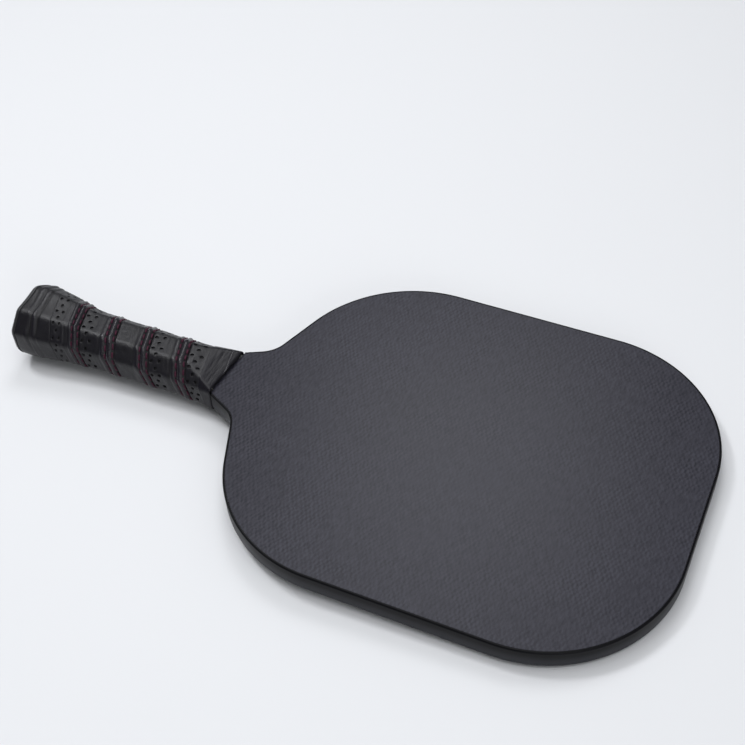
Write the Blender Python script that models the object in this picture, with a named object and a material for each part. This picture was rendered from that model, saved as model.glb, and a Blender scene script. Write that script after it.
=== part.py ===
"""Pickleball paddle: honeycomb panel, moulded edge, octagonal handle and wrapped grip.

The paddle lies flat.  +X runs from the butt to the tip of the head, +Y across
the face, +Z out of the front face.  The lowest point, under the butt flare,
is at z = 0, and the origin is below the middle of the bounding box.
All dimensions are metres.
"""
import math

import bmesh
import bpy

MM = 0.001
CLEARANCE = 0.3 * MM

# ---- whole paddle ---------------------------------------------------------
LENGTH = 392.0 * MM
WIDTH = 203.2 * MM
THICKNESS = 11.4 * MM
TIP_X = LENGTH / 2
BUTT_X = -LENGTH / 2

# ---- outline of the head, upper half, from the throat to the tip ----------
HANDLE_LENGTH = 130.5 * MM
THROAT_X = BUTT_X + HANDLE_LENGTH
NECK_HALF_WIDTH = 17.3 * MM
NECK_CORNER = (-49.2 * MM, 25.3 * MM)
SHOULDER_CORNER = (-20.5 * MM, WIDTH / 2)
NECK_RADIUS = 16.5 * MM
SHOULDER_RADIUS = 73.6 * MM
TIP_RADIUS = 72.0 * MM
ARC_STEPS = 12

# ---- layers of the panel, as half heights from the middle plane -----------
SKIN_THICKNESS = 0.5 * MM
SCRIM_THICKNESS = 0.3 * MM
SKIN_INNER = THICKNESS / 2 - SKIN_THICKNESS
SCRIM_OUTER = SKIN_INNER - CLEARANCE
SCRIM_INNER = SCRIM_OUTER - SCRIM_THICKNESS
CORE_HALF = SCRIM_INNER - CLEARANCE
EDGE_WIDTH = 1.2 * MM
EDGE_RADIUS = 1.1 * MM
FOAM_WIDTH = 7.0 * MM
CELL_PITCH = 20.0 * MM
CELL_WALL = 1.2 * MM

# ---- handle ---------------------------------------------------------------
# Outside of the wrapped grip: distance from the butt and half width there.
GRIP_STATIONS = (
    (4.0 * MM, 19.6 * MM),
    (10.0 * MM, 19.7 * MM),
    (18.0 * MM, 19.0 * MM),
    (28.0 * MM, 17.8 * MM),
    (38.0 * MM, 16.4 * MM),
    (48.0 * MM, 15.7 * MM),
    (60.0 * MM, 15.5 * MM),
    (112.0 * MM, 15.3 * MM),
    (HANDLE_LENGTH, 16.8 * MM),
)
PLAIN_START = 60.0 * MM
RAMP_START = 112.0 * MM
# The octagon's proportions, as shares of its half width.
HEIGHT_SHARE = 0.90
BEVEL_ACROSS_SHARE = 0.52
BEVEL_DOWN_SHARE = 0.495
RAMP_END_HEIGHT = 8.1 * MM
GRIP_THICKNESS = 1.9 * MM
TAPE_THICKNESS = 0.25 * MM
PALLET_DEPTH = GRIP_THICKNESS + TAPE_THICKNESS + 2 * CLEARANCE
TANG_HALF_WIDTH = 12.4 * MM
TANG_END_X = BUTT_X + 8.8 * MM
FINISHING_TAPE_LENGTH = 12.0 * MM
FINISHING_TAPE_THICKNESS = 0.4 * MM

# ---- butt cap -------------------------------------------------------------
CAP_RIM_X = BUTT_X + 4.0 * MM
CAP_SLEEVE_END_X = BUTT_X + 38.0 * MM
CAP_FLOOR_X = TANG_END_X - CLEARANCE
BADGE_SCALE = 0.62
BADGE_RECESS = 1.1 * MM
BADGE_THICKNESS = 0.6 * MM
STAPLE_X = BUTT_X + 24.0 * MM
STAPLE_CROWN = 10.0 * MM
STAPLE_LEG = 6.0 * MM
STAPLE_WIRE = 0.5 * MM
STAPLE_WIDTH = 0.8 * MM
STAPLE_SINK = 0.2 * MM
CROWN_POCKET_HEIGHT = 2.0 * MM
UNDERLAY_START_X = CAP_SLEEVE_END_X + 2.0 * MM
GRIP_START_X = CAP_RIM_X + 1.3 * MM

# ---- spiral of the grip ---------------------------------------------------
WRAP_PITCH = 22.6 * MM
THREAD_TURNS = 3.6
THREAD_RADIUS = 0.25 * MM
THREAD_START_X = BUTT_X + 30.4 * MM
THREAD_SPACING = 4.6 * MM
THREAD_LIFT = THREAD_RADIUS + 1.3 * CLEARANCE
THREAD_POINTS_PER_SIDE = 3

MID_Z = HEIGHT_SHARE * max(half_width for _, half_width in GRIP_STATIONS)


# ---- scene set-up ---------------------------------------------------------
def clear_scene():
    for item in list(bpy.data.objects):
        bpy.data.objects.remove(item, do_unlink=True)


def new_collection(name):
    collection = bpy.data.collections.new(name)
    bpy.context.scene.collection.children.link(collection)
    return collection


def material(name, color, roughness, metallic=0.0):
    finish = bpy.data.materials.new(name)
    finish.use_nodes = True
    shader = finish.node_tree.nodes["Principled BSDF"]
    shader.inputs["Base Color"].default_value = (*color, 1.0)
    shader.inputs["Roughness"].default_value = roughness
    shader.inputs["Metallic"].default_value = metallic
    finish.diffuse_color = (*color, 1.0)
    return finish


# ---- plane geometry -------------------------------------------------------
def unit(vector):
    size = math.hypot(*vector)
    return (vector[0] / size, vector[1] / size)


def line_crossing(start, direction, other_start, other_direction):
    cross = direction[0] * other_direction[1] - direction[1] * other_direction[0]
    dx = other_start[0] - start[0]
    dy = other_start[1] - start[1]
    along = (dx * other_direction[1] - dy * other_direction[0]) / cross
    return (start[0] + along * direction[0], start[1] + along * direction[1])


def rounded_corner(before, corner, after, radius):
    """Points of the arc that rounds a corner, from one side to the other."""
    back = unit((before[0] - corner[0], before[1] - corner[1]))
    ahead = unit((after[0] - corner[0], after[1] - corner[1]))
    half_angle = math.acos(back[0] * ahead[0] + back[1] * ahead[1]) / 2
    middle = unit((back[0] + ahead[0], back[1] + ahead[1]))
    reach = radius / math.sin(half_angle)
    center = (corner[0] + middle[0] * reach, corner[1] + middle[1] * reach)
    tangent = radius / math.tan(half_angle)
    first = (corner[0] + back[0] * tangent, corner[1] + back[1] * tangent)
    last = (corner[0] + ahead[0] * tangent, corner[1] + ahead[1] * tangent)
    start = math.atan2(first[1] - center[1], first[0] - center[0])
    turn = math.atan2(last[1] - center[1], last[0] - center[0]) - start
    turn = (turn + math.pi) % (2 * math.pi) - math.pi
    arc = []
    for step in range(ARC_STEPS + 1):
        angle = start + turn * step / ARC_STEPS
        arc.append((center[0] + radius * math.cos(angle), center[1] + radius * math.sin(angle)))
    return arc


def half_outline(inset):
    """Head outline at y >= 0 moved inwards by inset, from the throat to the tip."""
    corners = [
        (THROAT_X, NECK_HALF_WIDTH),
        NECK_CORNER,
        SHOULDER_CORNER,
        (TIP_X, WIDTH / 2),
        (TIP_X, 0.0),
    ]
    sides = []
    for start, end in zip(corners, corners[1:]):
        direction = unit((end[0] - start[0], end[1] - start[1]))
        inward = (direction[1], -direction[0])
        moved = (start[0] + inward[0] * inset, start[1] + inward[1] * inset)
        sides.append((moved, direction))
    moved_corners = []
    for side, following in zip(sides, sides[1:]):
        moved_corners.append(line_crossing(*side, *following))
    throat_x = THROAT_X + CLEARANCE
    first = line_crossing(*sides[0], (throat_x, 0.0), (0.0, 1.0))
    path = [first] + moved_corners + [(TIP_X - inset, 0.0)]
    radii = (NECK_RADIUS + inset, SHOULDER_RADIUS - inset, TIP_RADIUS - inset)
    points = [first]
    for index, radius in enumerate(radii, start=1):
        points += rounded_corner(path[index - 1], path[index], path[index + 1], radius)
    return points


def mirrored(points):
    return [(x, -y) for x, y in reversed(points)]


def head_rim(inset):
    """Open outline round the head, from the throat at +Y to the throat at -Y."""
    upper = half_outline(inset)
    return upper + mirrored(upper)


def blank_outline(inset):
    """Closed outline of a layer: the head and the tang inside the handle."""
    tang = [(TANG_END_X, TANG_HALF_WIDTH), (THROAT_X + CLEARANCE, TANG_HALF_WIDTH)]
    upper = tang + half_outline(inset)
    return upper + mirrored(upper)


def rim_band(outer_inset, inner_inset):
    """Closed outline of a strip that follows the edge of the head."""
    return head_rim(outer_inset) + list(reversed(head_rim(inner_inset)))


def is_inside(point, outline):
    inside = False
    for (ax, ay), (bx, by) in zip(outline, outline[1:] + outline[:1]):
        if (ay > point[1]) != (by > point[1]):
            if point[0] < ax + (point[1] - ay) * (bx - ax) / (by - ay):
                inside = not inside
    return inside


def hexagon(center, across_flats):
    radius = across_flats / math.sqrt(3)
    corners = []
    for index in range(6):
        angle = math.radians(60 * index + 30)
        corners.append((center[0] + radius * math.cos(angle), center[1] + radius * math.sin(angle)))
    return corners


def honeycomb_cells(outline):
    """Hexagonal cells that fit whole inside an outline, on a staggered grid."""
    cells = []
    row_step = CELL_PITCH * math.sqrt(3) / 2
    rows = int(WIDTH / row_step)
    columns = int(LENGTH / CELL_PITCH)
    for row in range(-rows, rows + 1):
        for column in range(-columns, columns + 1):
            center = ((column + (row % 2) / 2) * CELL_PITCH, row * row_step)
            if all(is_inside(corner, outline) for corner in hexagon(center, CELL_PITCH + CELL_WALL)):
                cells.append(hexagon(center, CELL_PITCH - CELL_WALL))
    return cells


# ---- solids ---------------------------------------------------------------
def add_object(name, data, finish, collection):
    item = bpy.data.objects.new(name, data)
    data.materials.append(finish)
    collection.objects.link(item)
    return item


def flat_solid(name, outlines, low, high, finish, collection):
    """Flat outlines, the first solid and the others holes, between two heights."""
    curve = bpy.data.curves.new(name, "CURVE")
    curve.dimensions = "2D"
    curve.fill_mode = "BOTH"
    curve.extrude = (high - low) / 2
    for outline in outlines:
        spline = curve.splines.new("POLY")
        spline.points.add(len(outline) - 1)
        for point, (x, y) in zip(spline.points, outline):
            point.co = (x, y, 0.0, 1.0)
        spline.use_cyclic_u = True
    item = add_object(name, curve, finish, collection)
    item.location.z = (low + high) / 2
    return item


def loft(name, rings, finish, collection):
    """Surface through rings of points with the same count, closed at its two ends."""
    mesh = bpy.data.meshes.new(name)
    form = bmesh.new()
    loops = [[form.verts.new(point) for point in ring] for ring in rings]
    count = len(rings[0])
    for near, far in zip(loops, loops[1:]):
        for index in range(count):
            after = (index + 1) % count
            form.faces.new((near[index], near[after], far[after], far[index]))
    form.faces.new(reversed(loops[0]))
    form.faces.new(loops[-1])
    bmesh.ops.recalc_face_normals(form, faces=form.faces)
    form.to_mesh(mesh)
    form.free()
    return add_object(name, mesh, finish, collection)


def cutter_box(name, center, size, collection):
    bpy.ops.mesh.primitive_cube_add(size=1, location=center)
    box = bpy.context.object
    box.name = name
    box.scale = size
    for owner in list(box.users_collection):
        owner.objects.unlink(box)
    collection.objects.link(box)
    box.hide_render = True
    box.display_type = "WIRE"
    return box


def cut(item, tool):
    modifier = item.modifiers.new("cut_" + tool.name, "BOOLEAN")
    modifier.operation = "DIFFERENCE"
    modifier.object = tool


# ---- sections of the handle -----------------------------------------------
def between(low, high, share):
    return low + (high - low) * share


def grip_half_width(x):
    """Half width of the wrapped handle at x."""
    along = x - BUTT_X
    for first, second in zip(GRIP_STATIONS, GRIP_STATIONS[1:]):
        if along <= second[0]:
            share = max(0.0, (along - first[0]) / (second[0] - first[0]))
            return between(first[1], second[1], share)
    return GRIP_STATIONS[-1][1]


def ramp_height(x, depth):
    """Height of the slope that brings the handle down to the face, at a depth."""
    start = HEIGHT_SHARE * grip_half_width(BUTT_X + RAMP_START)
    slope = (start - RAMP_END_HEIGHT) / (HANDLE_LENGTH - RAMP_START)
    return RAMP_END_HEIGHT + (THROAT_X - x) * slope - depth * math.hypot(1.0, slope)


def section(x, depth):
    """Octagon at x, at a depth under the grip: half width and height, top and side."""
    outer = grip_half_width(x)
    across = BEVEL_ACROSS_SHARE * outer
    down = BEVEL_DOWN_SHARE * outer
    level = down * (outer - across) + across * HEIGHT_SHARE * outer
    level -= depth * math.hypot(across, down)
    width = outer - depth
    height = min(HEIGHT_SHARE * outer - depth, ramp_height(x, depth))
    top = min((level - across * height) / down, width)
    side = min((level - down * width) / across, height)
    return (width, height, top, side)


def octagon_ring(x, depth, scale=1.0):
    """Eight points of the handle's section at x, counter-clockwise from +Y."""
    width, height, top, side = (scale * value for value in section(x, depth))
    quarter = [(width, side), (top, height), (-top, height), (-width, side)]
    around = quarter + [(-y, -z) for y, z in quarter]
    return [(x, y, MID_Z + z) for y, z in around]


def moved_ring(ring, x):
    return [(x, y, z) for _, y, z in ring]


def grip_stations(start, end):
    """Places along the handle where its section changes, between two ends."""
    inside = [BUTT_X + along for along, _ in GRIP_STATIONS]
    return [start] + [x for x in inside if start < x < end] + [end]


# ---- panel ----------------------------------------------------------------
def make_skins(collection):
    finish = material("woven_carbon_matt", (0.062, 0.063, 0.074), 0.55)
    outline = blank_outline(EDGE_WIDTH + CLEARANCE)
    low = MID_Z + SKIN_INNER
    flat_solid("front_face_skin", [outline], low, low + SKIN_THICKNESS, finish, collection)
    high = MID_Z - SKIN_INNER
    flat_solid("back_face_skin", [outline], high - SKIN_THICKNESS, high, finish, collection)


def make_core(collection):
    core_finish = material("polypropylene_core", (0.55, 0.56, 0.54), 0.5)
    scrim_finish = material("white_veil", (0.75, 0.75, 0.72), 0.9)
    inset = EDGE_WIDTH + FOAM_WIDTH + 2 * CLEARANCE
    outline = blank_outline(inset)
    cells = honeycomb_cells(outline)
    low = MID_Z - CORE_HALF
    high = MID_Z + CORE_HALF
    flat_solid("honeycomb_core", [outline] + cells, low, high, core_finish, collection)
    front = MID_Z + SCRIM_INNER
    back = MID_Z - SCRIM_OUTER
    flat_solid("front_core_scrim", [outline], front, front + SCRIM_THICKNESS, scrim_finish, collection)
    flat_solid("back_core_scrim", [outline], back, back + SCRIM_THICKNESS, scrim_finish, collection)


def make_perimeter_foam(collection):
    finish = material("edge_foam", (0.30, 0.30, 0.30), 0.9)
    outer = EDGE_WIDTH + CLEARANCE
    outline = rim_band(outer, outer + FOAM_WIDTH)
    low = MID_Z - SCRIM_OUTER
    high = MID_Z + SCRIM_OUTER
    flat_solid("perimeter_foam", [outline], low, high, finish, collection)


def edge_profile(guides):
    """Section of the edge band: flat inside, both outer corners rounded."""
    half_width = EDGE_WIDTH / 2
    half_height = THICKNESS / 2
    corner = (half_width, half_height)
    arc = []
    for step in range(6):
        angle = math.radians(90 * step / 5)
        y = corner[1] - EDGE_RADIUS + EDGE_RADIUS * math.sin(angle)
        arc.append((corner[0] - EDGE_RADIUS + EDGE_RADIUS * math.cos(angle), y))
    points = arc + [(-half_width, half_height), (-half_width, -half_height)]
    points += [(x, -y) for x, y in reversed(arc)]
    points.reverse()
    curve = bpy.data.curves.new("edge_profile", "CURVE")
    curve.dimensions = "2D"
    spline = curve.splines.new("POLY")
    spline.points.add(len(points) - 1)
    for point, (x, y) in zip(spline.points, points):
        point.co = (x, y, 0.0, 1.0)
    spline.use_cyclic_u = True
    profile = bpy.data.objects.new("edge_profile", curve)
    guides.objects.link(profile)
    profile.hide_render = True
    profile.display_type = "WIRE"
    return profile


def make_edge_band(collection, guides):
    finish = material("satin_black_edge", (0.012, 0.012, 0.015), 0.35)
    curve = bpy.data.curves.new("edge_band", "CURVE")
    curve.dimensions = "2D"
    curve.bevel_mode = "OBJECT"
    curve.bevel_object = edge_profile(guides)
    curve.use_fill_caps = True
    path = head_rim(EDGE_WIDTH / 2)
    spline = curve.splines.new("POLY")
    spline.points.add(len(path) - 1)
    for point, (x, y) in zip(spline.points, path):
        point.co = (x, y, 0.0, 1.0)
    item = add_object("edge_band", curve, finish, collection)
    item.location.z = MID_Z


# ---- handle ---------------------------------------------------------------
def pallet_ring(x):
    """Four points of the pallet above the front skin at x."""
    base = THICKNESS / 2 + CLEARANCE
    width, height, top, side = section(x, PALLET_DEPTH)
    share = (height - base) / (height - side)
    foot = between(top, width, share)
    corners = [(foot, base), (top, height), (-top, height), (-foot, base)]
    return [(x, y, z) for y, z in corners]


def feather_x():
    """Where the pallet's slope has come down to a thin edge above the skin."""
    thin_edge = THICKNESS / 2 + 2 * CLEARANCE
    near = ramp_height(THROAT_X, PALLET_DEPTH)
    far = ramp_height(BUTT_X + RAMP_START, PALLET_DEPTH)
    return between(THROAT_X, BUTT_X + RAMP_START, (thin_edge - near) / (far - near))


def make_pallets(collection, leg_holes):
    finish = material("handle_foam", (0.05, 0.05, 0.05), 0.7)
    plain = pallet_ring(BUTT_X + PLAIN_START)
    rings = [moved_ring(plain, TANG_END_X), plain]
    rings += [pallet_ring(BUTT_X + RAMP_START), pallet_ring(feather_x())]
    for name, side in (("front_handle_pallet", 1), ("back_handle_pallet", -1)):
        placed = [[(x, y, MID_Z + side * z) for x, y, z in ring] for ring in rings]
        pallet = loft(name, placed, finish, collection)
        for hole in leg_holes[side]:
            cut(pallet, hole)


def make_underlay_tapes(collection):
    finish = material("double_sided_tape", (0.62, 0.60, 0.52), 0.6)
    half = section(BUTT_X + RAMP_START, PALLET_DEPTH)[2]
    for name, side in (("front_underlay_tape", 1), ("back_underlay_tape", -1)):
        rings = []
        for x in (UNDERLAY_START_X, BUTT_X + PLAIN_START, BUTT_X + RAMP_START):
            height = section(max(x, BUTT_X + PLAIN_START), PALLET_DEPTH)[1]
            low = MID_Z + side * (height + CLEARANCE)
            high = low + side * TAPE_THICKNESS
            rings.append([(x, -half, low), (x, half, low), (x, half, high), (x, -half, high)])
        loft(name, rings, finish, collection)


def make_butt_cap(collection, cutters, leg_holes):
    finish = material("moulded_black_cap", (0.010, 0.010, 0.011), 0.42)
    sleeve_depth = GRIP_THICKNESS + CLEARANCE
    inner = octagon_ring(BUTT_X + PLAIN_START, PALLET_DEPTH - CLEARANCE)
    rim = octagon_ring(CAP_RIM_X, 0.0)
    sleeve_start = CAP_RIM_X + 1.0 * MM
    rings = [moved_ring(inner, CAP_FLOOR_X), moved_ring(inner, CAP_SLEEVE_END_X)]
    for x in reversed(grip_stations(sleeve_start, CAP_SLEEVE_END_X)):
        rings.append(octagon_ring(x, sleeve_depth))
    rings.append(moved_ring(rim, sleeve_start))
    for degrees in (0, 30, 60, 90):
        angle = math.radians(degrees)
        scale = between(BADGE_SCALE, 1.0, math.cos(angle))
        x = between(CAP_RIM_X, BUTT_X, math.sin(angle))
        rings.append(moved_ring(octagon_ring(CAP_RIM_X, 0.0, scale), x))
    rings.append(moved_ring(rings[-1], BUTT_X + BADGE_RECESS))
    cap = loft("butt_cap", rings, finish, collection)
    surface = section(STAPLE_X, sleeve_depth)[1]
    for side, holes in leg_holes.items():
        size = (STAPLE_WIDTH + 2 * CLEARANCE, STAPLE_CROWN + 2 * CLEARANCE, CROWN_POCKET_HEIGHT)
        center = (STAPLE_X, 0.0, MID_Z + side * surface)
        cut(cap, cutter_box("crown_pocket_" + str(side), center, size, cutters))
        for hole in holes:
            cut(cap, hole)


def staple_outline():
    half = STAPLE_CROWN / 2
    inner = half - STAPLE_WIRE
    return [
        (-half, 0.0), (half, 0.0), (half, -STAPLE_LEG), (inner, -STAPLE_LEG),
        (inner, -STAPLE_WIRE), (-inner, -STAPLE_WIRE), (-inner, -STAPLE_LEG), (-half, -STAPLE_LEG),
    ]


def staple_top():
    return section(STAPLE_X, GRIP_THICKNESS + CLEARANCE)[1] - STAPLE_SINK


def staple_leg_holes(cutters):
    """Holes for both legs of both staples, deep enough to clear the points."""
    holes = {1: [], -1: []}
    reach = STAPLE_LEG + 2 * CLEARANCE
    gap = STAPLE_WIRE + 2 * CLEARANCE
    for side in holes:
        for end in (-1, 1):
            y = end * (STAPLE_CROWN - STAPLE_WIRE) / 2
            center = (STAPLE_X, y, MID_Z + side * (staple_top() - reach / 2))
            size = (STAPLE_WIDTH + 2 * CLEARANCE, gap, reach)
            name = "leg_hole_{}_{}".format(side, end)
            holes[side].append(cutter_box(name, center, size, cutters))
    return holes


def make_staples(collection):
    finish = material("plated_steel_wire", (0.60, 0.60, 0.58), 0.3, 1.0)
    for name, side in (("butt_cap_staple_front", 1), ("butt_cap_staple_back", -1)):
        half = STAPLE_WIDTH / 2
        item = flat_solid(name, [staple_outline()], -half, half, finish, collection)
        item.rotation_euler = (math.radians(90 * side), 0.0, math.radians(90))
        item.location = (STAPLE_X, 0.0, MID_Z + side * staple_top())


def make_badge(collection):
    finish = material("blank_end_badge", (0.030, 0.030, 0.033), 0.3)
    ring = octagon_ring(CAP_RIM_X, 0.0, BADGE_SCALE)
    width = section(CAP_RIM_X, 0.0)[0] * BADGE_SCALE
    shrink = (width - CLEARANCE) / width
    plate = [(x, y * shrink, MID_Z + (z - MID_Z) * shrink) for x, y, z in ring]
    back = BUTT_X + BADGE_RECESS - CLEARANCE
    rings = [moved_ring(plate, back), moved_ring(plate, back - BADGE_THICKNESS)]
    loft("butt_badge", rings, finish, collection)


def tube(name, rings, finish, collection):
    """Octagonal tube: rings that run along its outside and back along its inside."""
    mesh = bpy.data.meshes.new(name)
    form = bmesh.new()
    loops = [[form.verts.new(point) for point in ring] for ring in rings]
    for near, far in zip(loops, loops[1:] + loops[:1]):
        for index in range(8):
            after = (index + 1) % 8
            form.faces.new((near[index], near[after], far[after], far[index]))
    bmesh.ops.recalc_face_normals(form, faces=form.faces)
    form.to_mesh(mesh)
    form.free()
    return add_object(name, mesh, finish, collection)


def sleeve_rings(start, end, depth):
    return [octagon_ring(x, depth) for x in grip_stations(start, end)]


def make_grip(collection):
    grip_finish = material("black_cushioned_leatherette", (0.016, 0.015, 0.017), 0.42)
    tape_finish = material("black_finishing_tape", (0.020, 0.020, 0.022), 0.38)
    tape_start = THROAT_X - FINISHING_TAPE_LENGTH
    under_tape = FINISHING_TAPE_THICKNESS + CLEARANCE
    rings = sleeve_rings(GRIP_START_X, tape_start - CLEARANCE, 0.0)
    rings += sleeve_rings(tape_start - CLEARANCE, THROAT_X, under_tape)
    rings += reversed(sleeve_rings(GRIP_START_X, THROAT_X, GRIP_THICKNESS))
    tube("grip_wrap", rings, grip_finish, collection)
    rings = sleeve_rings(tape_start, THROAT_X, 0.0)
    rings += reversed(sleeve_rings(tape_start, THROAT_X, FINISHING_TAPE_THICKNESS))
    tube("finishing_tape", rings, tape_finish, collection)


def thread_point(turn):
    """Point above the grip after so many turns, on the octagon's outline."""
    around = turn % 1.0 * 8
    index = int(around)
    share = around - index
    x = THREAD_START_X + turn * WRAP_PITCH
    ring = octagon_ring(x, -THREAD_LIFT)
    here = ring[index]
    there = ring[(index + 1) % 8]
    return (x, between(here[1], there[1], share), between(here[2], there[2], share))


def make_stitching(collection):
    finish = material("crimson_thread", (0.16, 0.008, 0.020), 0.7)
    count = int(THREAD_TURNS * 8) * THREAD_POINTS_PER_SIDE
    for number in (1, 2):
        name = "stitch_thread_" + str(number)
        curve = bpy.data.curves.new(name, "CURVE")
        curve.dimensions = "3D"
        curve.bevel_depth = THREAD_RADIUS
        curve.bevel_resolution = 0
        curve.use_fill_caps = True
        spline = curve.splines.new("POLY")
        spline.points.add(count)
        for index, point in enumerate(spline.points):
            x, y, z = thread_point(index / (8 * THREAD_POINTS_PER_SIDE))
            point.co = (x + (number - 1) * THREAD_SPACING, y, z, 1.0)
        add_object(name, curve, finish, collection)


def main():
    clear_scene()
    paddle = new_collection("pickleball_paddle")
    cutters = new_collection("cutters")
    make_skins(paddle)
    make_core(paddle)
    make_perimeter_foam(paddle)
    make_edge_band(paddle, cutters)
    leg_holes = staple_leg_holes(cutters)
    make_pallets(paddle, leg_holes)
    make_underlay_tapes(paddle)
    make_butt_cap(paddle, cutters, leg_holes)
    make_staples(paddle)
    make_badge(paddle)
    make_grip(paddle)
    make_stitching(paddle)


main()
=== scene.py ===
"""Looks of the pickleball paddle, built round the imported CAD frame.

Lengths in the named values are millimetres unless the name says otherwise,
in the CAD frame: +X from the butt to the tip, +Z out of the front face.
"""
import math

import bmesh
import bpy
import numpy as np
from mathutils import Euler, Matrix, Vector
from mathutils.geometry import delaunay_2d_cdt


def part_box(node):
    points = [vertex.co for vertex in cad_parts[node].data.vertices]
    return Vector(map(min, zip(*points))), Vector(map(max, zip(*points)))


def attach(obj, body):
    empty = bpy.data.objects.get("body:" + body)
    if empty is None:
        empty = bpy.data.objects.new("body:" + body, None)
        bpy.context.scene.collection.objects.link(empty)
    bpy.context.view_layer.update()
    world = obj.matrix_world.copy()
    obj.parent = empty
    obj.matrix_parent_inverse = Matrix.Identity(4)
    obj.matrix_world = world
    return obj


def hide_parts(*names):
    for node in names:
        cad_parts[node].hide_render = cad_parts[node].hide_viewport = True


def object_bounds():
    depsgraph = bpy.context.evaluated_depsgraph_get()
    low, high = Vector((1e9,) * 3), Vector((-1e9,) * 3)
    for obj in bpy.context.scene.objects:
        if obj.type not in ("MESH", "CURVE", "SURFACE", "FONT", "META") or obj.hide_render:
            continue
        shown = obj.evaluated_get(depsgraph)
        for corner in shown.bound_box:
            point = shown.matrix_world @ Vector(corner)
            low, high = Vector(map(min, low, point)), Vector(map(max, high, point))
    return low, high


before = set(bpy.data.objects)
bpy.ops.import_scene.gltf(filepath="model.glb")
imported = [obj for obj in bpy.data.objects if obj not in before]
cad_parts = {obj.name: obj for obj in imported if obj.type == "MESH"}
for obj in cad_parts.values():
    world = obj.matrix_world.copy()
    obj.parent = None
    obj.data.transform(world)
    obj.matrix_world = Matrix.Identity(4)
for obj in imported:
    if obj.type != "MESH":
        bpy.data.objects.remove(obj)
CAD_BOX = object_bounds()

MM = 0.001
BODY = "root"

# ---- frame sizes ----
BUTT = CAD_BOX[0].x / MM
TIP = CAD_BOX[1].x / MM
HALF_WIDTH = CAD_BOX[1].y / MM
FACE_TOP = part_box("front_face_skin")[1].z / MM
FACE_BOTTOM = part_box("back_face_skin")[0].z / MM
MID = (FACE_TOP + FACE_BOTTOM) / 2
HALF_THICKNESS = (FACE_TOP - FACE_BOTTOM) / 2
HANDLE_LENGTH = 130.5
THROAT = BUTT + HANDLE_LENGTH
RIM_START = THROAT + 0.3

# ---- outline of the head ----
NECK_HALF_WIDTH = 17.3
NECK_CORNER = (-49.2, 25.3)
SHOULDER_X = -20.5
NECK_RADIUS = 16.5
SHOULDER_RADIUS = 73.6
TIP_RADIUS = 72.0
ARC_STEPS = 40
EDGE_WIDTH = 1.2
EDGE_RADIUS = 1.1
EDGE_ARC_STEPS = 7
# Reach of the edge's painted shade under the front face, and of its painted floor reflection above the
# back face.
EDGE_PAINTED_SHADE_BAND = 2.0
EDGE_PAINTED_REFLECTION_BAND = 2.5
SKIN_THICKNESS = 0.5
SKIN_GAP = 0.08
SKIN_CHAMFER = 0.12
TANG_HALF_WIDTH = 12.4
TANG_END = BUTT + 8.8

# ---- section of the handle ----
STATION_X = (4.0, 10.0, 18.0, 28.0, 38.0, 48.0, 60.0, 112.0, HANDLE_LENGTH)
STATION_HALF_WIDTH = (19.6, 19.7, 19.0, 17.8, 16.4, 15.7, 15.5, 15.3, 16.8)
PLAIN_HALF_WIDTH = 15.3
EASE_REACH = 3.0
EASE_SPREAD = 1.6
EASE_SAMPLES = 13
HEIGHT_SHARE = 0.90
ACROSS_SHARE = 0.52
DOWN_SHARE = 0.495
RAMP_START = 112.0
RAMP_END_HEIGHT = 8.1
RIDGE_RADIUS = 4.8
RIDGE_RADIUS_AT_THROAT = 3.0
LOW_RIDGE_RADIUS_AT_BUTT = 13.0
LOW_RIDGE_END = 40.0
RIDGE_STEPS = 6
TABLE_STEP = 0.5
TABLE_END = HANDLE_LENGTH + 8.0
LAST_SECTION = HANDLE_LENGTH + 1.0
AROUND = 400
BULGE_X = (4.0, 8.0, 13.0, 19.0, 24.0, 29.0, 35.0, 41.0)
BULGE_LIFT = (1.9, 2.4, 1.9, 1.5, 1.4, 0.8, 0.25, 0.0)
BULGE_CENTER = 0.10
BULGE_REACH = 0.18

# ---- spiral strip ----
# Where the strip's second stitched row crosses, in turns from the middle of +Y.
ROW_TURNS = (
    -1.0, -0.5, 0.0, 0.20, 0.30, 0.40, 0.55,
    1.20, 1.30, 1.40, 1.55,
    2.20, 2.30, 2.40, 2.55,
    3.20, 3.30, 3.40, 3.55,
    4.20, 4.30, 4.40, 4.55,
    5.30, 6.30,
)
ROW_PLACES = (
    -9.0, 3.0, 14.2, 19.4, 22.6, 25.6, 28.9,
    38.0, 40.5, 43.0, 46.0,
    60.4, 63.6, 65.8, 68.5,
    82.2, 85.1, 87.4, 91.1,
    105.5, 108.7, 111.3, 115.2,
    134.5, 158.0,
)
SEAM_EASE_TURNS = (-0.06, -0.03, 0.0, 0.03, 0.06)
STRIP_WIDTH = 22.1
ROW_B_FROM_EDGE = 0.8
ROW_B = STRIP_WIDTH - ROW_B_FROM_EDGE
ROW_A = STRIP_WIDTH - 5.5
# Turns at which holes of the first column fall, and their count so far.
HOLE_TURNS = (-1.495, 0.192, 1.220, 3.218, 4.265, 6.20)
HOLE_COUNTS = (-22.95, 0.0, 14.0, 38.0, 51.0, 75.04)
TILE_LENGTH = 8.1
TILE_STEPS = 9
TILE_ACROSS = (
    0.04, 0.22, 0.42, 0.70,
    *np.linspace(1.1, 7.9, 10),
    *np.linspace(8.4, 15.9, 18),
    16.25, 16.6, 16.95, 17.3, 17.8, 18.3, 18.8, 19.3, 19.8, 20.3, 20.7,
    21.0, 21.3, 21.55, 21.75, 21.9, STRIP_WIDTH - 0.04,
)
TILE_MARGIN = 3.0
SPARE_TILES = 14
UNDERSIDE_ACROSS = 13
STRIP_DEPTH = 1.7
STRIP_DEPTH_AT_THROAT = 1.25
THROAT_FADE = 10.0
GRIP_START = 4.45
WELD_METRES = 1e-6
THROAT_SKEW = 0.10
SKEW_START = 96.0

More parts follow.
